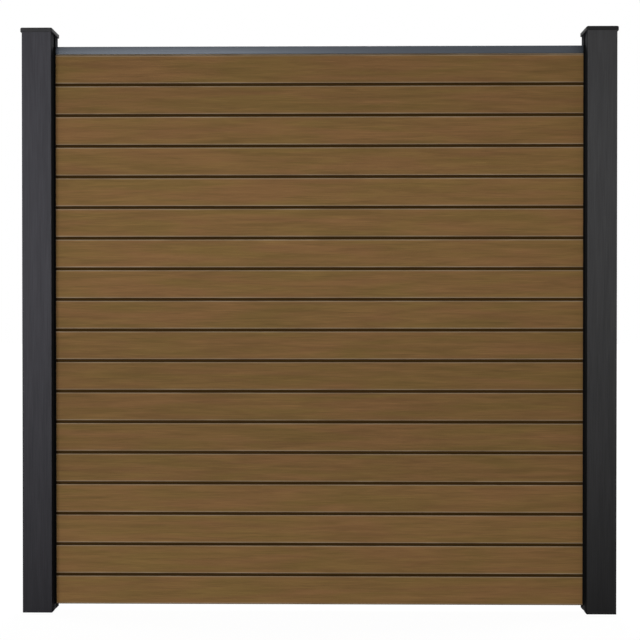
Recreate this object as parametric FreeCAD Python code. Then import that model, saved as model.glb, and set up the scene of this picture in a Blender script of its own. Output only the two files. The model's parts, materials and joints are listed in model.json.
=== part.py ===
import FreeCAD, Part

import math
import os

from FreeCAD import Vector

# Garden privacy screen: a bay of tongue-and-groove slats under a metal top rail. Both ends of the
# bay stand in lined slots, in two chambered posts with push-on caps.
#
# Lengths are millimetres. X runs along the screen, Y from its front (negative) to its back, Z up.
# The origin is on the ground, midway between the posts. Both faces of the screen are alike.

# Slats: hollow wood-composite boards, stacked on each other.
SLAT_COUNT = 18
SLAT_FACE = 94.0
SLAT_THICKNESS = 20.0
SLAT_WALL = 4.0
SLAT_WEB = 4.0
SLAT_EDGE_BEVEL = 1.0
SLAT_CHAMBER_COUNT = 4
SHADOW_GAP = 6.0
TONGUE_THICKNESS = 8.0
TONGUE_ENGAGEMENT = 6.0
TONGUE_LEAD = 1.5
TONGUE_CLEARANCE = 0.35

# The bay that the slats fill.
BAY_WIDTH = 1730.0
GROUND_GAP = 20.0
EXPANSION_GAP = 3.0

# Top rail: a hollow aluminium extrusion that seats on the last tongue.
RAIL_HEIGHT = 24.5
RAIL_JOINT = 3.0
RAIL_WALL = 1.8
RAIL_EDGE_RADIUS = 1.5

# End channels: aluminium linings of the slots, which stand a little out of them.
CHANNEL_WALL = 2.0
CHANNEL_LIP = 6.0
CHANNEL_LIP_BEVEL = 0.5

# Posts: chambered wood-composite extrusions with a slot in each side.
POST_SIDE = 96.0
POST_WALL = 6.0
POST_CORNER_RADIUS = 3.0
POST_CHAMBER_BEVEL = 2.0
POST_ABOVE_RAIL = 48.5
SLOT_MOUTH_RADIUS = 1.0

# Cores: aluminium tubes that stiffen the posts and take a ground anchor's spigot.
CORE_SIDE = 32.0
CORE_WALL = 2.5
CORE_CORNER_RADIUS = 3.0
CORE_BELOW_TOP = 6.0

# Post caps: moulded covers with a skirt outside the post and a hollow plug in each corner chamber.
CAP_PLATE = 5.0
CAP_CROWN = 3.0
CAP_RIM = 6.0
CAP_SKIRT_WALL = 4.0
CAP_SKIRT_OVERLAP = 8.0
CAP_EDGE_BEVEL = 2.5
PLUG_LENGTH = 22.0
PLUG_WALL = 2.0
PLUG_LEAD = 1.5

# Slot stops: blocks on the ground in the inner slots, on which the channels and slats stand.
STOP_SETBACK = 1.0
STOP_EDGE_BEVEL = 1.0
COUNTERBORE_DEPTH = 5.0

# Stop screws: tapered heads with a hexagon socket, one through each slot stop into the post's wall.
STOP_SCREW_RADIUS = 1.75
STOP_SCREW_BITE = 5.0
STOP_SCREW_HEAD_RADIUS = 3.5
STOP_SCREW_HEAD_HEIGHT = 2.6
STOP_SCREW_HEAD_TAPER = 0.8
STOP_SCREW_SOCKET_RADIUS = 1.5
STOP_SCREW_SOCKET_DEPTH = 1.4

# Channel screws: countersunk, through the end channel and the post's wall into the core.
CHANNEL_SCREW_COUNT = 3
CHANNEL_SCREW_MARGIN = 150.0
CHANNEL_SCREW_RADIUS = 1.75
CHANNEL_SCREW_HEAD_RADIUS = 3.4

# Clearances, each between two faces.
SLIDE_CLEARANCE = 0.3
CORE_CLEARANCE = 0.3
CAP_CLEARANCE = 0.3
SCREW_CLEARANCE = 0.05
HEAD_CLEARANCE = 0.4

# How near two coordinates are to count as the same one.
SAME = 1e-6

# Heights that follow: slats, rail and posts.
SLAT_PITCH = SLAT_FACE + SHADOW_GAP
TONGUE_HEIGHT = SHADOW_GAP + TONGUE_ENGAGEMENT
RAIL_BOTTOM = GROUND_GAP + SLAT_COUNT * SLAT_PITCH - SHADOW_GAP + RAIL_JOINT
RAIL_TOP = RAIL_BOTTOM + RAIL_HEIGHT
POST_HEIGHT = RAIL_TOP + POST_ABOVE_RAIL

# Widths that follow: what slides into what.
GROOVE_WIDTH = TONGUE_THICKNESS + 2 * TONGUE_CLEARANCE
CHANNEL_GAP = SLAT_THICKNESS + 2 * SLIDE_CLEARANCE
CHANNEL_WIDTH = CHANNEL_GAP + 2 * CHANNEL_WALL
SLOT_WIDTH = CHANNEL_WIDTH + 2 * SLIDE_CLEARANCE
CORE_CHAMBER = CORE_SIDE + 2 * CORE_CLEARANCE
SLOT_DEPTH = (POST_SIDE - CORE_CHAMBER) / 2 - POST_WALL

# Places along X that follow, on the right-hand side.
POST_INNER_X = BAY_WIDTH / 2
POST_X = POST_INNER_X + POST_SIDE / 2
SLOT_FLOOR_X = POST_INNER_X + SLOT_DEPTH
CORE_INSIDE_X = POST_X - CORE_SIDE / 2 + CORE_WALL
SLAT_LENGTH = 2 * (SLOT_FLOOR_X - CHANNEL_WALL - EXPANSION_GAP)

# The four quarters of a post's section, as signs of X and Y.
QUARTERS = [(sx, sy) for sx in (-1, 1) for sy in (-1, 1)]


def rounded_wire(corners, place):
    """A closed wire through corners (u, v, radius), each one turned by an arc of its radius.

    place makes a point in space of u and v.
    """
    points = [place(u, v) for u, v, _ in corners]
    runs = []
    arcs = []
    for index, (_, _, radius) in enumerate(corners):
        corner = points[index]
        before = (points[index - 1] - corner).normalize()
        after = (points[(index + 1) % len(points)] - corner).normalize()
        half_angle = before.getAngle(after) / 2
        reach = radius / math.tan(half_angle)
        start = corner + before * reach
        end = corner + after * reach
        runs.append((start, end))
        if radius > 0:
            inward = (before + after).normalize()
            middle = corner + inward * (radius / math.sin(half_angle) - radius)
            arcs.append(Part.Arc(start, middle, end).toShape())
    lines = []
    for index, (_, end) in enumerate(runs):
        start = runs[(index + 1) % len(runs)][0]
        if end.distanceToPoint(start) > SAME:
            lines.append(Part.makeLine(end, start))
    return Part.Wire(Part.__sortEdges__(lines + arcs))


def rectangle(u0, v0, u1, v1, radius=0.0):
    """The four corners of a rectangle, all with one radius."""
    return [(u0, v0, radius), (u1, v0, radius), (u1, v1, radius), (u0, v1, radius)]


def bevelled_rectangle(u0, v0, u1, v1, bevel):
    """The eight corners of a rectangle with a flat bevel at each corner."""
    u_in = math.copysign(bevel, u1 - u0)
    v_in = math.copysign(bevel, v1 - v0)
    return [
        (u0 + u_in, v0, 0),
        (u1 - u_in, v0, 0),
        (u1, v0 + v_in, 0),
        (u1, v1 - v_in, 0),
        (u1 - u_in, v1, 0),
        (u0 + u_in, v1, 0),
        (u0, v1 - v_in, 0),
        (u0, v0 + v_in, 0),
    ]


def extrusion(outline, chambers, place, run):
    """A prism along run. outline and chambers are lists of corners, and each chamber is left open."""
    wires = [rounded_wire(corners, place) for corners in [outline] + chambers]
    return Part.makeFace(wires, "Part::FaceMakerBullseye").extrude(run)


def upright(x, z, height, outline, chambers=()):
    """An extrusion upwards from z, with its profile drawn in X and Y about the line at x."""
    return extrusion(outline, list(chambers), lambda u, v: Vector(x + u, v, z), Vector(0, 0, height))


def lengthwise(z, outline, chambers):
    """An extrusion as long as a slat, centred on the bay, with its profile drawn in Y and Z above z."""
    start = -SLAT_LENGTH / 2
    return extrusion(outline, chambers, lambda u, v: Vector(start, u, z + v), Vector(SLAT_LENGTH, 0, 0))


def rod(x, z, radius, length):
    """A round bar along X, on the screen's middle plane."""
    return Part.makeCylinder(radius, length, Vector(x, 0, z), Vector(1, 0, 0))


def cone(x, z, radius, end_radius, length):
    """A round bar along X that tapers to end_radius, on the screen's middle plane."""
    return Part.makeCone(radius, end_radius, length, Vector(x, 0, z), Vector(1, 0, 0))


def slat(index):
    """One hollow slat: a groove below, a tongue above, and chambers along its whole length."""
    half = SLAT_THICKNESS / 2
    tongue = TONGUE_THICKNESS / 2
    groove = GROOVE_WIDTH / 2
    tip = SLAT_FACE + TONGUE_HEIGHT
    tip_half = tongue - TONGUE_LEAD
    flat = half - SLAT_EDGE_BEVEL
    outline = [
        (-half, SLAT_EDGE_BEVEL, 0),
        (-flat, 0, 0),
        (-groove, 0, 0),
        (-groove, TONGUE_ENGAGEMENT, 0),
        (groove, TONGUE_ENGAGEMENT, 0),
        (groove, 0, 0),
        (flat, 0, 0),
        (half, SLAT_EDGE_BEVEL, 0),
        (half, SLAT_FACE - SLAT_EDGE_BEVEL, 0),
        (flat, SLAT_FACE, 0),
        (tongue, SLAT_FACE, 0),
        (tongue, tip - TONGUE_LEAD, 0),
        (tip_half, tip, 0),
        (-tip_half, tip, 0),
        (-tongue, tip - TONGUE_LEAD, 0),
        (-tongue, SLAT_FACE, 0),
        (-flat, SLAT_FACE, 0),
        (-half, SLAT_FACE - SLAT_EDGE_BEVEL, 0),
    ]
    side = half - SLAT_WALL
    floor = TONGUE_ENGAGEMENT + SLAT_WALL
    ceiling = SLAT_FACE - SLAT_WALL
    step = (ceiling - floor + SLAT_WEB) / SLAT_CHAMBER_COUNT
    chambers = []
    for number in range(SLAT_CHAMBER_COUNT):
        low = floor + number * step
        chambers.append(rectangle(-side, low, side, low + step - SLAT_WEB))
    return lengthwise(GROUND_GAP + index * SLAT_PITCH, outline, chambers)


def top_rail():
    """The rail that closes the stack: a groove for the last tongue, under an arched chamber."""
    half = SLAT_THICKNESS / 2
    groove = GROOVE_WIDTH / 2
    seat = TONGUE_HEIGHT - RAIL_JOINT
    outline = [
        (-half, 0, 0),
        (-groove, 0, 0),
        (-groove, seat, 0),
        (groove, seat, 0),
        (groove, 0, 0),
        (half, 0, 0),
        (half, RAIL_HEIGHT, RAIL_EDGE_RADIUS),
        (-half, RAIL_HEIGHT, RAIL_EDGE_RADIUS),
    ]
    side = half - RAIL_WALL
    leg = groove + RAIL_WALL
    arch = seat + RAIL_WALL
    ceiling = RAIL_HEIGHT - RAIL_WALL
    chamber = [
        (-side, RAIL_WALL, 0),
        (-leg, RAIL_WALL, 0),
        (-leg, arch, 0),
        (leg, arch, 0),
        (leg, RAIL_WALL, 0),
        (side, RAIL_WALL, 0),
        (side, ceiling, 0),
        (-side, ceiling, 0),
    ]
    return lengthwise(RAIL_BOTTOM, outline, [chamber])


def corner_chamber(sx, sy, inset=0.0):
    """A corner chamber of the post, in the quarter (sx, sy), drawn in by inset from its walls."""
    near_x = CORE_CHAMBER / 2 + POST_WALL + inset
    near_y = SLOT_WIDTH / 2 + POST_WALL + inset
    far = POST_SIDE / 2 - POST_WALL - inset
    return bevelled_rectangle(sx * near_x, sy * near_y, sx * far, sy * far, POST_CHAMBER_BEVEL)


def post():
    """A post: a slot in each side, the core's chamber, one more front and back, and four in corners."""
    half = POST_SIDE / 2
    slot = SLOT_WIDTH / 2
    floor = half - SLOT_DEPTH
    outline = []
    for side in (1, -1):
        outline += [
            (side * -half, side * -half, POST_CORNER_RADIUS),
            (side * half, side * -half, POST_CORNER_RADIUS),
            (side * half, side * -slot, SLOT_MOUTH_RADIUS),
            (side * floor, side * -slot, 0),
            (side * floor, side * slot, 0),
            (side * half, side * slot, SLOT_MOUTH_RADIUS),
        ]
    core = CORE_CHAMBER / 2
    near = core + POST_WALL
    far = half - POST_WALL
    chambers = [bevelled_rectangle(-core, -core, core, core, POST_CHAMBER_BEVEL)]
    for side in (-1, 1):
        chambers.append(bevelled_rectangle(-core, side * near, core, side * far, POST_CHAMBER_BEVEL))
    chambers += [corner_chamber(sx, sy) for sx, sy in QUARTERS]
    return upright(POST_X, 0, POST_HEIGHT, outline, chambers).cut(screw_bores())


def post_core():
    """The aluminium tube in the post's middle chamber."""
    outer = CORE_SIDE / 2
    inner = outer - CORE_WALL
    outline = rectangle(-outer, -outer, outer, outer, CORE_CORNER_RADIUS)
    bore = rectangle(-inner, -inner, inner, inner)
    return upright(POST_X, 0, POST_HEIGHT - CORE_BELOW_TOP, outline, [bore]).cut(screw_bores())


def end_channel():
    """The slot's lining: a U that holds the slats' ends, with countersunk holes in its web."""
    outer = CHANNEL_WIDTH / 2
    inner = CHANNEL_GAP / 2
    mouth = POST_INNER_X - CHANNEL_LIP
    web = SLOT_FLOOR_X - CHANNEL_WALL
    outline = [
        (mouth + CHANNEL_LIP_BEVEL, -outer, 0),
        (SLOT_FLOOR_X, -outer, 0),
        (SLOT_FLOOR_X, outer, 0),
        (mouth + CHANNEL_LIP_BEVEL, outer, 0),
        (mouth, outer - CHANNEL_LIP_BEVEL, 0),
        (mouth, inner, 0),
        (web, inner, 0),
        (web, -inner, 0),
        (mouth, -inner, 0),
        (mouth, CHANNEL_LIP_BEVEL - outer, 0),
    ]
    channel = upright(0, GROUND_GAP, RAIL_TOP - GROUND_GAP, outline)
    heads = [screw_head(z, SCREW_CLEARANCE) for z in channel_screw_heights()]
    return channel.cut(Part.makeCompound(heads))


def channel_screw_heights():
    """The heights of the screws in one end channel, evenly spaced between its margins."""
    low = GROUND_GAP + CHANNEL_SCREW_MARGIN
    high = RAIL_TOP - CHANNEL_SCREW_MARGIN
    step = (high - low) / (CHANNEL_SCREW_COUNT - 1)
    return [low + step * number for number in range(CHANNEL_SCREW_COUNT)]


def screw_bores():
    """The bores in one post and its core: the stop screw's ends in the wall, the others go through."""
    bores = [rod(SLOT_FLOOR_X, GROUND_GAP / 2, STOP_SCREW_RADIUS + SCREW_CLEARANCE, STOP_SCREW_BITE)]
    for z in channel_screw_heights():
        bores.append(channel_shank(z, SCREW_CLEARANCE))
    return Part.makeCompound(bores)


def screw_head(z, clearance):
    """A channel screw's countersunk head, or with a clearance the hole that it fills in the web."""
    head = CHANNEL_SCREW_HEAD_RADIUS + clearance
    neck = CHANNEL_SCREW_RADIUS + clearance
    return cone(SLOT_FLOOR_X - CHANNEL_WALL, z, head, neck, CHANNEL_WALL)


def channel_shank(z, clearance):
    """A channel screw's shank, or with a clearance its bore, from the slot's floor into the core."""
    return rod(SLOT_FLOOR_X, z, CHANNEL_SCREW_RADIUS + clearance, CORE_INSIDE_X - SLOT_FLOOR_X)


def channel_screws():
    """The countersunk screws that hold one end channel in its slot."""
    screws = []
    for z in channel_screw_heights():
        screws.append(screw_head(z, 0).fuse(channel_shank(z, 0)).removeSplitter())
    return Part.makeCompound(screws)


def slot_stop():
    """The block that fills the slot's foot, with a counterbored hole for its screw."""
    half = CHANNEL_WIDTH / 2
    face = POST_INNER_X + STOP_SETBACK
    outline = [
        (face, STOP_EDGE_BEVEL - half, 0),
        (face + STOP_EDGE_BEVEL, -half, 0),
        (SLOT_FLOOR_X, -half, 0),
        (SLOT_FLOOR_X, half, 0),
        (face + STOP_EDGE_BEVEL, half, 0),
        (face, half - STOP_EDGE_BEVEL, 0),
    ]
    z = GROUND_GAP / 2
    hole = rod(face, z, STOP_SCREW_RADIUS + SCREW_CLEARANCE, SLOT_FLOOR_X - face)
    counterbore = rod(face, z, STOP_SCREW_HEAD_RADIUS + HEAD_CLEARANCE, COUNTERBORE_DEPTH)
    return upright(0, 0, GROUND_GAP, outline).cut(hole.fuse(counterbore))


def stop_screw():
    """The screw of one slot stop, seated in its counterbore."""
    z = GROUND_GAP / 2
    seat = POST_INNER_X + STOP_SETBACK + COUNTERBORE_DEPTH
    top = seat - STOP_SCREW_HEAD_HEIGHT
    top_radius = STOP_SCREW_HEAD_RADIUS - STOP_SCREW_HEAD_TAPER
    head = cone(top, z, top_radius, STOP_SCREW_HEAD_RADIUS, STOP_SCREW_HEAD_HEIGHT)
    shank = rod(seat, z, STOP_SCREW_RADIUS, SLOT_FLOOR_X + STOP_SCREW_BITE - seat)
    hexagon = []
    for side in range(6):
        turn = side * math.pi / 3
        across = STOP_SCREW_SOCKET_RADIUS * math.cos(turn)
        hexagon.append((across, STOP_SCREW_SOCKET_RADIUS * math.sin(turn), 0))
    depth = Vector(STOP_SCREW_SOCKET_DEPTH, 0, 0)
    socket = extrusion(hexagon, [], lambda u, v: Vector(top, u, z + v), depth)
    return head.fuse(shank).removeSplitter().cut(socket)


def post_cap():
    """The moulded cap: a crowned plate, a skirt round the post and four hollow corner plugs."""
    inside = POST_SIDE / 2 + CAP_CLEARANCE
    inside_radius = POST_CORNER_RADIUS + CAP_CLEARANCE
    side = inside + CAP_SKIRT_WALL
    skirt_z = POST_HEIGHT - CAP_SKIRT_OVERLAP
    rim_z = POST_HEIGHT + CAP_PLATE
    outline = rectangle(-side, -side, side, side, inside_radius + CAP_SKIRT_WALL)
    cap = upright(POST_X, skirt_z, rim_z - skirt_z, outline)
    cap = cap.makeChamfer(CAP_EDGE_BEVEL, [edge for edge in cap.Edges if edge.BoundBox.ZMin > rim_z - SAME])
    hollow = rectangle(-inside, -inside, inside, inside, inside_radius)
    cap = cap.cut(upright(POST_X, skirt_z, CAP_SKIRT_OVERLAP, hollow))
    field = side - CAP_RIM
    base = rounded_wire(rectangle(-field, -field, field, field), lambda u, v: Vector(POST_X + u, v, rim_z))
    crown = Part.makeLoft([base, Part.Vertex(POST_X, 0, rim_z + CAP_CROWN)], True, True)
    cap = cap.fuse([crown] + [cap_plug(sx, sy) for sx, sy in QUARTERS])
    return cap.removeSplitter()


def cap_plug(sx, sy):
    """One hollow plug with a tapered foot, which fits the corner chamber in the quarter (sx, sy)."""
    foot = POST_HEIGHT - PLUG_LENGTH
    outline = corner_chamber(sx, sy, CAP_CLEARANCE)
    plug = upright(POST_X, foot + PLUG_LEAD, PLUG_LENGTH - PLUG_LEAD, outline)
    end = corner_chamber(sx, sy, CAP_CLEARANCE + PLUG_LEAD)
    wide = rounded_wire(outline, lambda u, v: Vector(POST_X + u, v, foot + PLUG_LEAD))
    narrow = rounded_wire(end, lambda u, v: Vector(POST_X + u, v, foot))
    bore = corner_chamber(sx, sy, CAP_CLEARANCE + PLUG_WALL)
    solid = plug.fuse(Part.makeLoft([narrow, wide], True, True))
    return solid.cut(upright(POST_X, foot, PLUG_LENGTH, bore))


def pieces():
    """Every piece of the screen, by the name of its node."""
    found = {f"slat_{index + 1:02d}": slat(index) for index in range(SLAT_COUNT)}
    found["top_rail"] = top_rail()
    for make in (post, post_core, post_cap, end_channel, channel_screws, slot_stop, stop_screw):
        piece = make()
        found[f"{make.__name__}_right"] = piece
        found[f"{make.__name__}_left"] = piece.mirror(Vector(0, 0, 0), Vector(1, 0, 0))
    return found


def main():
    os.makedirs("parts", exist_ok=True)
    for name, piece in pieces().items():
        piece.exportStep(f"parts/{name}.step")
        print(name, len(piece.Solids), "solid(s)", round(piece.Volume / 1000, 1), "cm3")


main()
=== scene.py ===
import json
import math

import bpy
from bpy.props import FloatProperty, FloatVectorProperty, IntProperty, PointerProperty
from bpy.types import Operator, Panel, PropertyGroup
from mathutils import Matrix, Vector, noise

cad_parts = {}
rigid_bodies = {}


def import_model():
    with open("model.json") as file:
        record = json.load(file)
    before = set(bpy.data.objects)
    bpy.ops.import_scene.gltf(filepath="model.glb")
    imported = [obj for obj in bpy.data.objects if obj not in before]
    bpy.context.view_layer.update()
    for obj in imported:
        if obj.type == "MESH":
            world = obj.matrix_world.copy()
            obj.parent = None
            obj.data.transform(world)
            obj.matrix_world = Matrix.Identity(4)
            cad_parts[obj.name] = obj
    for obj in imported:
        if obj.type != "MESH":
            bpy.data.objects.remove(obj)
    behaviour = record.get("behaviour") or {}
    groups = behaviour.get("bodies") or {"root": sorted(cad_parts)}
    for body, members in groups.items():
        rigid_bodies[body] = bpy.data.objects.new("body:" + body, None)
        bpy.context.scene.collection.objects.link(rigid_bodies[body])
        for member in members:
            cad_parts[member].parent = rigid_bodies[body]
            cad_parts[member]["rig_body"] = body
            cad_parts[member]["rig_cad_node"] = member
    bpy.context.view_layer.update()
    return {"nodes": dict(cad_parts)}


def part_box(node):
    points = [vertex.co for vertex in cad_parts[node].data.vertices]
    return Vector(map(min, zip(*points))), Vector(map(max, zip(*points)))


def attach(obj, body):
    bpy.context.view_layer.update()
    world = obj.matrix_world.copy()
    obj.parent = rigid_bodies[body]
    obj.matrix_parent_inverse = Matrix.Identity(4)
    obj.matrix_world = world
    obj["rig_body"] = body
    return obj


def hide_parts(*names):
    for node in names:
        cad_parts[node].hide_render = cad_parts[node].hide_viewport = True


# Dresses the garden privacy screen. Lengths are metres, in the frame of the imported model: X along the
# screen, Y from its front to its back, Z up from the ground.

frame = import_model()

bl_info = {
    "name": "Garden Privacy Screen",
    "version": (1, 0, 0),
    "blender": (4, 5, 0),
    "location": "View3D > Sidebar > Privacy Screen",
    "description": "Builds a slatted composite garden screen between two capped posts",
    "category": "Object",
}

BODY = "root"
SIDES = ("left", "right")
SLAT_NODES = sorted(name for name in frame["nodes"] if name.startswith("slat_"))
SLAT_LOW, SLAT_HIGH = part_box(SLAT_NODES[0])
SLAT_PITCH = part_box(SLAT_NODES[1])[0].z - SLAT_LOW.z
RAIL_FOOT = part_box("top_rail")[0].z
POST_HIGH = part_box("post_right")[1]

# The photograph is this many pixels each way, and the sensor this many millimetres wide.
IMAGE_SIZE = 640
SENSOR_WIDTH = 36.0

# Points nearer to each other than this are one point.
MERGE_DISTANCE = 1e-6
# Points nearer to a face or an edge than this lie on it.
ON_FACE = 1e-5

# Faces that meet at less than this angle are shaded as one.
SMOOTH_ANGLE = math.radians(35)
# Edges of a CAD node that turn by less than the first angle are flat, and by more than the second, sharp.
FLAT_ANGLE = math.radians(0.5)
SHARP_ANGLE = math.radians(40)

# How often each pattern comes and goes in a metre, along X, Y and Z.
SLAT_WAVES = (2.2, 90.0, 210.0)
SLAT_DRIFT = (2.6, 6.0, 24.0)
SLAT_PATCHES = (4.5, 9.0, 60.0)
SLAT_LINES = (7.0, 40.0, 420.0)
SLAT_GRAIN = (16.0, 200.0, 1600.0)
POST_LINES = (380.0, 380.0, 9.0)
POST_PATCHES = (45.0, 45.0, 3.0)
MOULDED_CLOUDS = (14.0, 14.0, 14.0)
RAIL_LINES = (3.0, 500.0, 500.0)
CORE_LINES = (500.0, 500.0, 5.0)
SCREW_LINES = (60.0, 900.0, 900.0)

# A noise swings round 0.5 and seldom leaves the wide range. Stretched from a closer one, it has more
# contrast.
WIDE_RANGE = (0.3, 0.7)
CLOSE_RANGE = (0.35, 0.65)
DRIFT_RANGE = (0.36, 0.64)

# The roughness of the brushed composites, from line to line.
SLAT_ROUGHNESS = (0.65, 0.80)
POST_ROUGHNESS = (0.72, 0.88)

# The painted highlight along a slat's edges is full over this share of its height, next to the edge.
HIGHLIT_FULL = 0.35
# The band of painted shade along a slat's edges fades over this share of its height, to each side of its
# end.
SHADE_BAND_FADE = 0.3
# The grain of a slat is as deep as this share of its lines.
GRAIN_SHARE = 0.6

WHITE = (1.0, 1.0, 1.0, 1.0)
FLOOR_SIDE = 60.0

# The lamps: name, setting with the power, place, the point it is turned to, and its width and height.
LAMPS = (
    ("key_lamp", "key_power", (-2.4, -5.9, 0.8), (0, 0, 0.8), (2.6, 2.4)),
    ("fill_lamp", "fill_power", (2.2, -6.0, 0.7), (0, 0, 0.7), (2.6, 2.4)),
    ("back_lamp", "back_power", (0.3, 3.6, 4.6), (0, 0, 0.9), (2.4, 1.8)),
    ("left_lamp", "side_power", (-5.0, 1.8, 1.4), (-0.9, 0, 0.9), (1.6, 2.4)),
    ("right_lamp", "side_power", (5.0, 1.8, 1.4), (0.9, 0, 0.9), (1.6, 2.4)),
)


class SlatSettings(PropertyGroup):
    """Sizes and colours of the slats"""
    face_height: FloatProperty(
        name="Face height", description="Height of a slat's face, without its tongue",
        default=0.094, unit="LENGTH")
    tongue_thickness: FloatProperty(
        name="Tongue thickness", description="Thickness of the tongue on a slat's top edge",
        default=0.008, unit="LENGTH")
    groove_width: FloatProperty(
        name="Groove width", description="Width of the groove in a slat's bottom edge",
        default=0.0087, unit="LENGTH")
    groove_depth: FloatProperty(
        name="Groove depth", description="Depth of the groove in a slat's bottom edge",
        default=0.006, unit="LENGTH")
    wall: FloatProperty(
        name="Wall", description="Thickness of the walls and webs round a slat's chambers",
        default=0.004, unit="LENGTH")
    chamber_count: IntProperty(
        name="Chambers", description="Number of chambers in a slat", default=4)
    edge_round: FloatProperty(
        name="Edge round", description="Radius of the rounding along a slat's edges",
        default=0.0015, unit="LENGTH")
    strip_height: FloatProperty(
        name="Strip height", description="Height of the strips that carry the brushed relief",
        default=0.0045, unit="LENGTH")
    section_count: IntProperty(
        name="Sections", description="Number of sections along a slat", default=24)
    relief: FloatProperty(
        name="Relief", description="Depth of the waves that brushing leaves in a slat's faces",
        default=0.00012, unit="LENGTH")
    # Painted shade: a dark band along the edges of each slat's face, joining the dark tongues in the gaps.
    shade_band_height: FloatProperty(
        name="Dark height", description="Height of the dark band along the edges of a slat's face",
        default=0.0021, unit="LENGTH")
    # Painted highlight: a pale band just inside the dark band along each face's edges.
    highlit_height: FloatProperty(
        name="Highlit height", description="Height of the paler band along the edges of a slat's face",
        default=0.0062, unit="LENGTH")
    highlit_shares: FloatVectorProperty(
        name="Highlit shares", description="How much of the worn colour shows, from patch to patch",
        size=2, default=(0.65, 1.0))
    rail_fade: FloatVectorProperty(
        name="Rail fade", description="Depths under the rail between which the dark band fades out",
        size=2, default=(0.004, 0.003), unit="LENGTH")
    batch_size: IntProperty(
        name="Batch size", description="Number of slats over which the tone drifts and comes back",
        default=12)
    batch_tones: FloatVectorProperty(
        name="Batch tones", description="Tones of the darkest and the lightest slat of a batch",
        size=2, default=(0.93, 1.09))
    chance_tones: FloatVectorProperty(
        name="Chance tones", description="Range of the tone that each slat has by chance",
        size=2, default=(0.98, 1.02))
    brown: FloatVectorProperty(
        name="Brown", description="Main colour of the slats", subtype="COLOR",
        default=(0.166, 0.0885, 0.0348))
    olive: FloatVectorProperty(
        name="Olive", description="Colour of the slats where they drift to olive", subtype="COLOR",
        default=(0.149, 0.0895, 0.0298))
    # The colour of the painted highlight along the faces' edges.
    highlit: FloatVectorProperty(
        name="Highlit edge", description="Colour of the slats along their worn edges", subtype="COLOR",
        default=(0.250, 0.192, 0.130))
    # Painted shade: the dark colour on the tongues in the gaps and in the bands along the faces' edges.
    painted_shade: FloatVectorProperty(
        name="Painted shade", description="Colour of the tongues, and of the dark bands along the faces' edges",
        subtype="COLOR", default=(0.034, 0.0165, 0.0030))


class PostSettings(PropertyGroup):
    """Sizes and colours of the posts"""
    edge_round: FloatProperty(
        name="Edge round", description="Width of the fine rounding along a post's sharp edges",
        default=0.0004, unit="LENGTH")
    # Between these two depths from the outer faces, the charcoal fades into the dark painted shade of the
    # inner sides, the slots and the rounded corners.
    full_shade_depth: FloatProperty(
        name="Brushed depth", description="Depth from a post's outer faces at which the brushing ends",
        default=0.0030, unit="LENGTH")
    shade_start_depth: FloatProperty(
        name="Full depth", description="Depth from a post's outer faces to which the brushing is full",
        default=0.0005, unit="LENGTH")
    # The right post's charcoal is painted a little darker than the left's, as shade from light falling from
    # the left.
    left_charcoal: FloatVectorProperty(
        name="Left charcoal", description="Colour of the left post's brushed faces", subtype="COLOR",
        default=(0.0556, 0.0548, 0.0622))
    right_charcoal: FloatVectorProperty(
        name="Right charcoal", description="Colour of the right post's brushed faces", subtype="COLOR",
        default=(0.0531, 0.0530, 0.0543))
    line_tone: FloatProperty(
        name="Line tone", description="Tone of the dark lines in the brushed faces", subtype="FACTOR",
        default=0.82)
    # Painted shade: each post is painted darker towards the ground, the right one more.
    ground_shade_tones: FloatVectorProperty(
        name="Foot tones", description="Tone of the left and the right post at the ground",
        size=2, default=(0.50, 0.34))
    ground_shade_heights: FloatVectorProperty(
        name="Foot heights", description="Heights at which the left and the right post have full tone",
        size=2, default=(1.13, 1.32), unit="LENGTH")
    # Painted shade: the dark colour of the inner sides beside the slats, the slots and the rounded corners.
    painted_shade: FloatVectorProperty(
        name="Painted shade", description="Colour of the posts' smooth inner sides", subtype="COLOR",
        default=(0.012, 0.0125, 0.014))


class TrimSettings(PropertyGroup):
    """Sizes and colours of the caps and the metal"""
    edge_round: FloatProperty(
        name="Edge round", description="Width of the fine rounding along the edges of caps and rail",
        default=0.0005, unit="LENGTH")
    # The right cap is painted much darker than the left, as shade.
    left_cap: FloatVectorProperty(
        name="Left cap", description="Colour of the left moulded cap", subtype="COLOR",
        default=(0.027, 0.027, 0.0285))
    right_cap: FloatVectorProperty(
        name="Right cap", description="Colour of the right moulded cap", subtype="COLOR",
        default=(0.011, 0.011, 0.0115))
    rail: FloatVectorProperty(
        name="Rail", description="Colour of the anodised top rail", subtype="COLOR",
        default=(0.050, 0.057, 0.068))
    channel: FloatVectorProperty(
        name="Channel", description="Colour of the end channels and slot stops", subtype="COLOR",
        default=(0.003, 0.003, 0.003))
    metal: FloatVectorProperty(
        name="Bare metal", description="Colour of the core tubes and screws", subtype="COLOR",
        default=(0.50, 0.50, 0.50))


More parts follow.
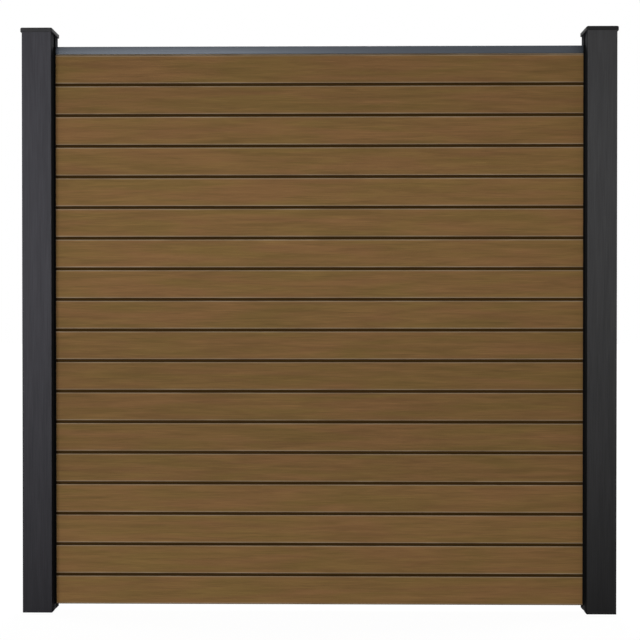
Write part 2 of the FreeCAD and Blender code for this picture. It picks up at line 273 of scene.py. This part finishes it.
class StageSettings(PropertyGroup):
    """The camera, the lamps, the world and the floor"""
    camera_place: FloatVectorProperty(
        name="Camera", description="Where the camera stands", subtype="TRANSLATION", unit="LENGTH",
        default=(0.0532, -3.848, 0.9817))
    camera_pitch: FloatProperty(
        name="Pitch", description="How far the camera looks down", subtype="ANGLE",
        default=math.radians(0.477))
    camera_yaw: FloatProperty(
        name="Yaw", description="How far the camera turns to the left", subtype="ANGLE",
        default=math.radians(0.734))
    focal_pixels: FloatProperty(
        name="Focal length in pixels", description="Focal length, measured in pixels of the photograph",
        subtype="PIXEL", default=1176.8)
    key_power: FloatProperty(
        name="Key power", description="Power of the large lamp in front, at the left",
        unit="POWER", default=316.0)
    fill_power: FloatProperty(
        name="Fill power", description="Power of the large lamp in front, at the right",
        unit="POWER", default=100.0)
    back_power: FloatProperty(
        name="Back power", description="Power of the lamp behind and above the screen",
        unit="POWER", default=190.0)
    side_power: FloatProperty(
        name="Side power", description="Power of each of the two lamps beside the screen",
        unit="POWER", default=150.0)
    ambient: FloatProperty(
        name="Ambient", description="Strength of the light from all round", default=0.15)
    floor_paint: FloatVectorProperty(
        name="Floor paint", description="Colour of the floor where it is lit", subtype="COLOR",
        default=(0.5, 0.5, 0.5))
    floor_glow: FloatProperty(
        name="Floor glow", description="Strength with which the floor glows where it is seen",
        default=1.10)
    glow_shares: FloatVectorProperty(
        name="Glow shares", description="Share of the glow in the floor, near the screen and far from it",
        size=2, default=(0.88, 1.0))
    glow_reaches: FloatVectorProperty(
        name="Glow reaches", description="Distances from the screen's middle between which it grows",
        size=2, default=(1.5, 4.0), unit="LENGTH")


# Mesh helpers


def deselect():
    """Leaves object mode with nothing selected."""
    if bpy.context.object and bpy.context.object.mode != "OBJECT":
        bpy.ops.object.mode_set(mode="OBJECT")
    bpy.ops.object.select_all(action="DESELECT")


def activate(piece):
    """Makes piece the only selected object."""
    deselect()
    piece.select_set(True)
    bpy.context.view_layer.objects.active = piece


def select_mesh(mesh, faces=None, edges=None):
    """Selects the faces whose centre, or the edges whose ends, pass the test given, in object mode."""
    bpy.context.tool_settings.mesh_select_mode = (False, edges is not None, faces is not None)
    for group in (mesh.vertices, mesh.edges, mesh.polygons):
        group.foreach_set("select", [False] * len(group))
    if faces:
        for polygon in mesh.polygons:
            polygon.select = faces(polygon.center)
    if edges:
        for edge in mesh.edges:
            first, second = (mesh.vertices[index].co for index in edge.vertices)
            edge.select = edges(first, second)


def bisect(place, normal):
    """Cuts the whole mesh in edit mode by a plane."""
    bpy.ops.mesh.select_all(action="SELECT")
    bpy.ops.mesh.bisect(plane_co=place, plane_no=normal)


def finish_piece(piece, name, nodes, material):
    """Smooths, names, dresses and seats a finished piece that stands for CAD nodes."""
    activate(piece)
    bpy.ops.object.shade_smooth_by_angle(angle=SMOOTH_ANGLE)
    piece.name = name
    piece.data.name = name
    piece.data.materials.clear()
    piece.data.materials.append(material)
    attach(piece, BODY)
    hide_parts(*nodes)


def round_node(node, width, material):
    """Replaces a CAD node by a copy with its sharp edges finely rounded."""
    source = frame["nodes"][node]
    piece = source.copy()
    piece.data = source.data.copy()
    piece.parent = None
    # The copy is a piece of its own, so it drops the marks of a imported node.
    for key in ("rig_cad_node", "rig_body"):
        if key in piece:
            del piece[key]
    bpy.context.scene.collection.objects.link(piece)
    activate(piece)
    bpy.ops.object.mode_set(mode="EDIT")
    bpy.ops.mesh.select_all(action="SELECT")
    bpy.ops.mesh.remove_doubles(threshold=MERGE_DISTANCE)
    bpy.ops.mesh.dissolve_limited(angle_limit=FLAT_ANGLE)
    bpy.ops.object.mode_set(mode="OBJECT")
    bevel = piece.modifiers.new("fine rounding", "BEVEL")
    bevel.width = width
    bevel.segments = 2
    bevel.limit_method = "ANGLE"
    bevel.angle_limit = SHARP_ANGLE
    bpy.ops.object.modifier_apply(modifier=bevel.name)
    finish_piece(piece, f"{node}_body", [node], material)


def dress(node, material):
    """Gives a CAD node that stays as it is its material."""
    mesh = frame["nodes"][node].data
    mesh.materials.clear()
    mesh.materials.append(material)


# Material helpers


class NodeTree:
    """The nodes of a material or a world, added one by one with their inputs."""

    def __init__(self, owner):
        self.owner = owner
        owner.use_nodes = True
        self.tree = owner.node_tree
        self.tree.nodes.clear()

    def add(self, kind, inputs=None, **settings):
        """A shader node of a kind. Inputs are values, or outputs of other nodes."""
        node = self.tree.nodes.new("ShaderNode" + kind)
        for name, value in settings.items():
            setattr(node, name, value)
        for name, value in (inputs or {}).items():
            if isinstance(value, bpy.types.NodeSocket):
                self.tree.links.new(value, node.inputs[name])
            else:
                node.inputs[name].default_value = value
        return node

    def math(self, operation, first, second=0.0):
        """The result of one sum."""
        return self.add("Math", {0: first, 1: second}, operation=operation).outputs[0]

    def product(self, first, *others):
        """All the values multiplied."""
        for other in others:
            first = self.math("MULTIPLY", first, other)
        return first

    def place(self):
        """The point of the surface, in the piece's own axes."""
        return self.add("TexCoord").outputs["Object"]

    def axes(self):
        """The X, Y and Z of that point."""
        return self.add("SeparateXYZ", {"Vector": self.place()}).outputs

    def streaks(self, repeats, detail=3.0, roughness=0.5, distortion=0.0):
        """Noise around 0.5 that comes and goes so often in a metre along X, Y and Z."""
        place = self.add("Mapping", {"Vector": self.place(), "Scale": repeats}).outputs["Vector"]
        settings = {"Vector": place, "Scale": 1.0, "Detail": detail, "Roughness": roughness,
                    "Distortion": distortion}
        return self.add("TexNoise", settings).outputs["Fac"]

    def steps(self, value, low, high, low_to=0.0, high_to=1.0):
        """Value stretched from one range to another and kept in it."""
        settings = {"Value": value, 1: low, 2: high, 3: low_to, 4: high_to}
        return self.add("MapRange", settings, clamp=True).outputs["Result"]

    def swing(self, noise_value, by, middle=1.0):
        """A value that a noise swings by an amount to each side of its middle."""
        return self.steps(noise_value, *WIDE_RANGE, middle - by, middle + by)

    def blend(self, factor, first, second):
        """Two colours mixed by a factor."""
        node = self.add("Mix", {0: factor}, data_type="RGBA")
        for index, colour in ((6, first), (7, second)):
            if isinstance(colour, bpy.types.NodeSocket):
                self.tree.links.new(colour, node.inputs[index])
            else:
                node.inputs[index].default_value = (*colour, 1.0)
        return node.outputs[2]

    def shade(self, colour, amount):
        """A colour made lighter or darker by an amount around 1."""
        return self.add("VectorMath", {0: colour, "Scale": amount}, operation="SCALE").outputs[0]

    def bump(self, height, distance):
        """A normal tilted by a height of so many metres."""
        return self.add("Bump", {"Height": height, "Distance": distance}).outputs["Normal"]

    def seen(self):
        """1 for what the camera sees, itself, mirrored or through something clear, and otherwise 0."""
        rays = self.add("LightPath").outputs
        seen = self.math("MAXIMUM", rays["Is Camera Ray"], rays["Is Glossy Ray"])
        return self.math("MAXIMUM", seen, rays["Is Transmission Ray"])

    def surface(self, inputs):
        """The finished material, with the inputs of one principled shader."""
        shader = self.add("BsdfPrincipled", inputs)
        self.add("OutputMaterial", {"Surface": shader.outputs["BSDF"]})
        return self.owner


def slat_material(settings):
    """Brown wood composite: lengthwise streaks, a slow drift of hue and a tone for each slat, with painted
    shade on the tongues in the gaps and along the faces' edges, and a painted highlight just inside it.
    """
    tree = NodeTree(bpy.data.materials.new("slat_composite"))
    axes = tree.axes()
    count = tree.math("DIVIDE", tree.math("SUBTRACT", axes["Z"], SLAT_LOW.z), SLAT_PITCH)
    number = tree.math("FLOOR", count)
    batch = tree.math("COSINE", tree.math("MULTIPLY", number, 2 * math.pi / settings.batch_size))
    chance = tree.add("TexWhiteNoise", {"W": number}, noise_dimensions="1D").outputs["Value"]
    drift = tree.streaks(SLAT_DRIFT, detail=2.0, distortion=0.4)
    patches = tree.streaks(SLAT_PATCHES, distortion=0.6)
    lines = tree.streaks(SLAT_LINES, roughness=0.6)
    grain = tree.streaks(SLAT_GRAIN, detail=2.0)
    tone = tree.product(
        tree.steps(batch, -1.0, 1.0, *settings.batch_tones),
        tree.steps(chance, 0.0, 1.0, *settings.chance_tones),
        tree.swing(patches, by=0.12), tree.swing(lines, by=0.08), tree.swing(grain, by=0.14))

    # The bands' heights are measured from the middle of a face, as shares of the slats' pitch.
    half = settings.face_height / SLAT_PITCH / 2
    highlit = settings.highlit_height / SLAT_PITCH
    dark = settings.shade_band_height / SLAT_PITCH
    fade_start, fade_end = (RAIL_FOOT - depth for depth in settings.rail_fade)
    from_middle = tree.math("ABSOLUTE", tree.math("SUBTRACT", tree.math("FRACT", count), half))
    # Painted highlight: a pale band just inside each face's edges, whose strength changes from patch to
    # patch.
    highlit_band = tree.product(
        tree.steps(from_middle, half - highlit, half - highlit * HIGHLIT_FULL),
        tree.steps(patches, *CLOSE_RANGE, *settings.highlit_shares))
    # Painted shade: a dark band over the tongues in the gaps and along the faces' edges, fading out under
    # the rail.
    shade_band = tree.product(
        tree.steps(from_middle, half - dark * (1 + SHADE_BAND_FADE), half - dark * (1 - SHADE_BAND_FADE)),
        tree.steps(axes["Z"], fade_start, fade_end, 1.0, 0.0))

    colour = tree.blend(tree.steps(drift, *DRIFT_RANGE), settings.brown, settings.olive)
    colour = tree.shade(tree.blend(highlit_band, colour, settings.highlit), tone)
    relief = tree.math("ADD", lines, tree.math("MULTIPLY", grain, GRAIN_SHARE))
    return tree.surface({
        "Base Color": tree.blend(shade_band, colour, settings.painted_shade),
        "Roughness": tree.steps(lines, *WIDE_RANGE, *SLAT_ROUGHNESS),
        "Specular IOR Level": 0.06,
        "Normal": tree.bump(relief, distance=0.0003),
    })


def post_material(settings):
    """Charcoal wood composite brushed upwards on its outer faces, with dark painted shade on its inner
    sides beside the slats, in its slots and on its rounded corners, and painted shade that darkens it
    towards the ground.
    """
    tree = NodeTree(bpy.data.materials.new("post_composite"))
    axes = tree.axes()
    lines = tree.streaks(POST_LINES, roughness=0.6)
    patches = tree.streaks(POST_PATCHES, detail=2.0, distortion=0.5)
    side = tree.steps(axes["X"], -POST_HIGH.x, POST_HIGH.x)

    def near_face(axis, face):
        """1 at an outer face across an axis, and 0 where the painted shade is full."""
        reach = tree.math("ABSOLUTE", axes[axis])
        return tree.steps(reach, face - settings.full_shade_depth, face - settings.shade_start_depth)

    # Painted shade: the tone falls from 1 at the full height to the foot tone at the ground.
    foot = tree.steps(side, 0.0, 1.0, *settings.ground_shade_tones)
    full_height = tree.steps(side, 0.0, 1.0, *settings.ground_shade_heights)
    rise = tree.steps(tree.math("DIVIDE", axes["Z"], full_height), 0.0, 1.0)
    tone = tree.math("ADD", foot, tree.math("MULTIPLY", rise, tree.math("SUBTRACT", 1.0, foot)))
    # 1 near the outer faces, and 0 on the inner sides, in the slots and on the rounded corners, where the
    # dark colour is painted shade.
    brushed = tree.math("MAXIMUM", near_face("X", POST_HIGH.x), near_face("Y", POST_HIGH.y))
    # Painted shade: the right post is a little darker than the left.
    colour = tree.blend(side, settings.left_charcoal, settings.right_charcoal)
    colour = tree.shade(colour, tree.steps(lines, *CLOSE_RANGE, settings.line_tone, 1.0))
    # Painted shade: the dark colour wherever the faces are not outer ones.
    colour = tree.blend(brushed, settings.painted_shade, colour)
    return tree.surface({
        "Base Color": tree.shade(colour, tree.product(tree.swing(patches, by=0.06), tone)),
        "Roughness": tree.steps(lines, *WIDE_RANGE, *POST_ROUGHNESS),
        "Specular IOR Level": 0.01,
        "Normal": tree.bump(lines, distance=0.0003),
    })


def moulded_material(name, colour, grain, roughness, sheen):
    """A moulded or coated surface with a fine even grain of so many specks in a metre."""
    tree = NodeTree(bpy.data.materials.new(name))
    specks = tree.streaks((grain, grain, grain), detail=2.0)
    clouds = tree.streaks(MOULDED_CLOUDS, detail=2.0)
    tone = tree.product(tree.swing(specks, by=0.08), tree.swing(clouds, by=0.05))
    return tree.surface({
        "Base Color": tree.shade(colour, tone),
        "Roughness": tree.swing(specks, by=0.06, middle=roughness),
        "Specular IOR Level": sheen,
        "Normal": tree.bump(specks, distance=0.0001),
    })


def metal_material(name, colour, repeats, roughness, metallic):
    """Drawn metal: fine lines along one way, and a satin sheen."""
    tree = NodeTree(bpy.data.materials.new(name))
    lines = tree.streaks(repeats, roughness=0.6)
    return tree.surface({
        "Base Color": tree.shade(colour, tree.swing(lines, by=0.07)),
        "Metallic": metallic,
        "Roughness": tree.swing(lines, by=0.05, middle=roughness),
        "Normal": tree.bump(lines, distance=0.00005),
    })


# The pieces


def slat_profile_cuts(settings):
    """The heights above a slat's foot at which its profile is cut, and the chambers' low and high ends."""
    floor = settings.groove_depth + settings.wall
    ceiling = settings.face_height - settings.wall
    step = (ceiling - floor + settings.wall) / settings.chamber_count
    chambers = []
    for number in range(settings.chamber_count):
        low = floor + number * step
        chambers.append((low, low + step - settings.wall))
    marks = [0.0, settings.groove_depth, settings.face_height]
    for low, high in chambers:
        marks += [low, high]
    marks.sort()
    heights = []
    for low, high in zip(marks, marks[1:]):
        strips = max(1, round((high - low) / settings.strip_height))
        heights += [low + (high - low) * strip / strips for strip in range(strips)]
    return heights[1:] + [settings.face_height], chambers


def model_slat(settings):
    """The lowest slat, cut as a profile from a plane and drawn out along the bay."""
    half = SLAT_HIGH.y
    tongue = settings.tongue_thickness / 2
    groove = settings.groove_width / 2
    foot = SLAT_LOW.z
    size = (SLAT_HIGH.z - foot, 2 * half)
    deselect()
    bpy.ops.mesh.primitive_plane_add(size=1.0, location=(SLAT_LOW.x, 0, foot + size[0] / 2))
    slat = bpy.context.object
    slat.rotation_euler = (0, math.pi / 2, 0)
    slat.scale = (*size, 1.0)
    bpy.ops.object.transform_apply(location=True, rotation=True, scale=True)
    heights, chambers = slat_profile_cuts(settings)
    inner = half - settings.wall
    bpy.ops.object.mode_set(mode="EDIT")
    for height in heights:
        bisect((SLAT_LOW.x, 0, foot + height), (0, 0, 1))
    for depth in (tongue, groove, inner):
        for side in (-1, 1):
            bisect((SLAT_LOW.x, side * depth, foot), (0, 1, 0))
    bpy.ops.object.mode_set(mode="OBJECT")

    def is_open(centre):
        """Whether a cell of the profile is in a chamber, in the groove or beside the tongue."""
        height = centre.z - foot
        depth = abs(centre.y)
        in_chamber = depth < inner and any(low < height < high for low, high in chambers)
        in_groove = depth < groove and height < settings.groove_depth
        beside_tongue = depth > tongue and height > settings.face_height
        return in_chamber or in_groove or beside_tongue

    select_mesh(slat.data, faces=is_open)
    bpy.ops.object.mode_set(mode="EDIT")
    bpy.ops.mesh.delete(type="FACE")
    step = (SLAT_HIGH.x - SLAT_LOW.x) / settings.section_count
    bpy.ops.mesh.select_all(action="SELECT")
    for _ in range(settings.section_count):
        bpy.ops.mesh.extrude_region_move(TRANSFORM_OT_translate={"value": (step, 0, 0)})
    bpy.ops.mesh.select_all(action="SELECT")
    bpy.ops.mesh.remove_doubles(threshold=MERGE_DISTANCE)
    bpy.ops.mesh.normals_make_consistent(inside=False)
    bpy.ops.object.mode_set(mode="OBJECT")

    def is_outer_edge(first, second):
        """Whether an edge runs along one of the four long corners of the faces."""
        along = abs(first.x - second.x) > step / 2
        outside = abs(first.y) > half - ON_FACE
        height = first.z - foot
        return along and outside and (height < ON_FACE or abs(height - settings.face_height) < ON_FACE)

    select_mesh(slat.data, edges=is_outer_edge)
    bpy.ops.object.mode_set(mode="EDIT")
    bpy.ops.mesh.bevel(offset=settings.edge_round, segments=4, affect="EDGES")
    bpy.ops.object.mode_set(mode="OBJECT")
    return slat


def brush_slat(slat, settings):
    """Presses the long shallow waves of brushing into a slat's two faces, never outwards."""
    for vertex in slat.data.vertices:
        if abs(vertex.co.y) > SLAT_HIGH.y - ON_FACE:
            spot = Vector([place * repeats for place, repeats in zip(vertex.co, SLAT_WAVES)])
            wave = 0.5 + 0.5 * noise.noise(spot)
            vertex.co.y -= math.copysign(settings.relief * wave, vertex.co.y)


class SCREEN_OT_slats(Operator):
    """Model one slat, copy it up the bay and brush each copy by itself"""
    bl_idname = "privacy_screen.slats"
    bl_label = "Slats"

    def execute(self, context):
        settings = context.scene.screen_slats
        material = slat_material(settings)
        first = model_slat(settings)
        for number, node in enumerate(SLAT_NODES):
            slat = first.copy()
            slat.data = first.data.copy()
            context.scene.collection.objects.link(slat)
            for vertex in slat.data.vertices:
                vertex.co.z += number * SLAT_PITCH
            brush_slat(slat, settings)
            finish_piece(slat, f"{node}_board", [node], material)
        bpy.data.objects.remove(first)
        return {"FINISHED"}


class SCREEN_OT_posts(Operator):
    """Round the posts' edges finely and dress them in brushed charcoal composite with painted shade"""
    bl_idname = "privacy_screen.posts"
    bl_label = "Posts"

    def execute(self, context):
        settings = context.scene.screen_posts
        material = post_material(settings)
        for side in SIDES:
            round_node(f"post_{side}", settings.edge_round, material)
        return {"FINISHED"}


class SCREEN_OT_caps(Operator):
    """Round the edges of the moulded caps and dress them"""
    bl_idname = "privacy_screen.caps"
    bl_label = "Post caps"

    def execute(self, context):
        settings = context.scene.screen_trim
        for side in SIDES:
            # Painted shade: the right cap gets the darker colour.
            colour = getattr(settings, f"{side}_cap")
            material = moulded_material(f"cap_plastic_{side}", colour, grain=900, roughness=0.6, sheen=0.1)
            round_node(f"post_cap_{side}", settings.edge_round, material)
        return {"FINISHED"}


class SCREEN_OT_rail(Operator):
    """Round the edges of the top rail and dress it in anodised aluminium"""
    bl_idname = "privacy_screen.rail"
    bl_label = "Top rail"

    def execute(self, context):
        settings = context.scene.screen_trim
        material = metal_material("rail_aluminium", settings.rail, RAIL_LINES, roughness=0.5, metallic=0.6)
        round_node("top_rail", settings.edge_round, material)
        return {"FINISHED"}


class SCREEN_OT_channels(Operator):
    """Dress the end channels and the slot stops under them in black"""
    bl_idname = "privacy_screen.channels"
    bl_label = "End channels and stops"

    def execute(self, context):
        colour = context.scene.screen_trim.channel
        coat = moulded_material("channel_coat", colour, grain=1500, roughness=0.8, sheen=0.05)
        plastic = moulded_material("stop_plastic", colour, grain=700, roughness=0.7, sheen=0.1)
        for side in SIDES:
            dress(f"end_channel_{side}", coat)
            dress(f"slot_stop_{side}", plastic)
        return {"FINISHED"}


class SCREEN_OT_metal(Operator):
    """Dress the core tubes and the screws in bare metal"""
    bl_idname = "privacy_screen.metal"
    bl_label = "Cores and screws"

    def execute(self, context):
        colour = context.scene.screen_trim.metal
        tube = metal_material("core_aluminium", colour, CORE_LINES, roughness=0.4, metallic=1.0)
        steel = metal_material("screw_steel", colour, SCREW_LINES, roughness=0.3, metallic=1.0)
        for side in SIDES:
            dress(f"post_core_{side}", tube)
            dress(f"channel_screws_{side}", steel)
            dress(f"stop_screw_{side}", steel)
        return {"FINISHED"}


# The stage


def floor_material(settings):
    """A white studio floor that the camera sees bright, with the screen's soft shadow on it."""
    tree = NodeTree(bpy.data.materials.new("studio_floor"))
    paint = tree.add("BsdfDiffuse", {"Color": (*settings.floor_paint, 1.0)})
    glow = tree.add("Emission", {"Color": WHITE, "Strength": settings.floor_glow})
    distance = tree.add("VectorMath", {0: tree.place()}, operation="LENGTH").outputs["Value"]
    share = tree.steps(distance, *settings.glow_reaches, *settings.glow_shares)
    mixed = tree.add("MixShader", {0: tree.math("MULTIPLY", tree.seen(), share),
                                   1: paint.outputs["BSDF"], 2: glow.outputs["Emission"]})
    tree.add("OutputMaterial", {"Surface": mixed.outputs["Shader"]})
    return tree.owner


def make_world(ambient):
    """A world that is white where it is seen and dimmer where it lights."""
    world = bpy.data.worlds.new("studio")
    bpy.context.scene.world = world
    tree = NodeTree(world)
    strength = tree.steps(tree.seen(), 0.0, 1.0, ambient, 1.0)
    background = tree.add("Background", {"Color": WHITE, "Strength": strength})
    tree.add("OutputWorld", {"Surface": background.outputs["Background"]})


def add_lamp(name, place, target, size, power):
    """An area lamp at a place, turned to a target."""
    turn = (Vector(target) - Vector(place)).to_track_quat("-Z", "Y").to_euler()
    bpy.ops.object.light_add(type="AREA", location=place, rotation=turn)
    lamp = bpy.context.object
    lamp.name = name
    lamp.data.shape = "RECTANGLE"
    lamp.data.size, lamp.data.size_y = size
    lamp.data.energy = power
    lamp.visible_camera = False


class SCREEN_OT_stage(Operator):
    """Add the floor, the lamps, the world and the camera"""
    bl_idname = "privacy_screen.stage"
    bl_label = "Stage"

    def execute(self, context):
        settings = context.scene.screen_stage
        deselect()
        bpy.ops.mesh.primitive_plane_add(size=FLOOR_SIDE, location=(0, 0, 0))
        floor = context.object
        floor.name = "studio_floor"
        floor.data.materials.append(floor_material(settings))
        make_world(settings.ambient)
        for name, power, place, target, size in LAMPS:
            add_lamp(name, place, target, size, getattr(settings, power))
        # The fill lamp lifts the shadows and leaves no highlight.
        bpy.data.objects["fill_lamp"].visible_glossy = False
        bpy.ops.object.camera_add(location=settings.camera_place)
        camera = context.object
        camera.rotation_euler = (math.pi / 2 - settings.camera_pitch, 0, settings.camera_yaw)
        camera.data.sensor_width = SENSOR_WIDTH
        camera.data.lens = settings.focal_pixels * SENSOR_WIDTH / IMAGE_SIZE
        context.scene.camera = camera
        context.scene.view_settings.view_transform = "Standard"
        return {"FINISHED"}


class SCREEN_PT_panel(Panel):
    """The steps that build the screen, and their settings"""
    bl_idname = "SCREEN_PT_panel"
    bl_label = "Privacy Screen"
    bl_space_type = "VIEW_3D"
    bl_region_type = "UI"
    bl_category = "Privacy Screen"

    def draw(self, context):
        layout = self.layout
        for operator in OPERATORS:
            layout.operator(operator.bl_idname)
        for group in SETTINGS:
            settings = getattr(context.scene, group)
            box = layout.box()
            for name in settings.bl_rna.properties.keys():
                if name not in ("rna_type", "name"):
                    box.prop(settings, name)


OPERATORS = (
    SCREEN_OT_slats,
    SCREEN_OT_posts,
    SCREEN_OT_caps,
    SCREEN_OT_rail,
    SCREEN_OT_channels,
    SCREEN_OT_metal,
    SCREEN_OT_stage,
)
SETTINGS = {
    "screen_slats": SlatSettings,
    "screen_posts": PostSettings,
    "screen_trim": TrimSettings,
    "screen_stage": StageSettings,
}
CLASSES = (*SETTINGS.values(), *OPERATORS, SCREEN_PT_panel)


def register():
    """Adds the classes, and the settings to the scene."""
    for kind in CLASSES:
        bpy.utils.register_class(kind)
    for name, kind in SETTINGS.items():
        setattr(bpy.types.Scene, name, PointerProperty(type=kind))


def unregister():
    """Takes the settings and the classes away again."""
    for name in SETTINGS:
        delattr(bpy.types.Scene, name)
    for kind in reversed(CLASSES):
        bpy.utils.unregister_class(kind)


def main():
    """Builds the whole screen and its stage."""
    register()
    bpy.ops.privacy_screen.slats()
    bpy.ops.privacy_screen.posts()
    bpy.ops.privacy_screen.caps()
    bpy.ops.privacy_screen.rail()
    bpy.ops.privacy_screen.channels()
    bpy.ops.privacy_screen.metal()
    bpy.ops.privacy_screen.stage()


if __name__ == "__main__":
    main()
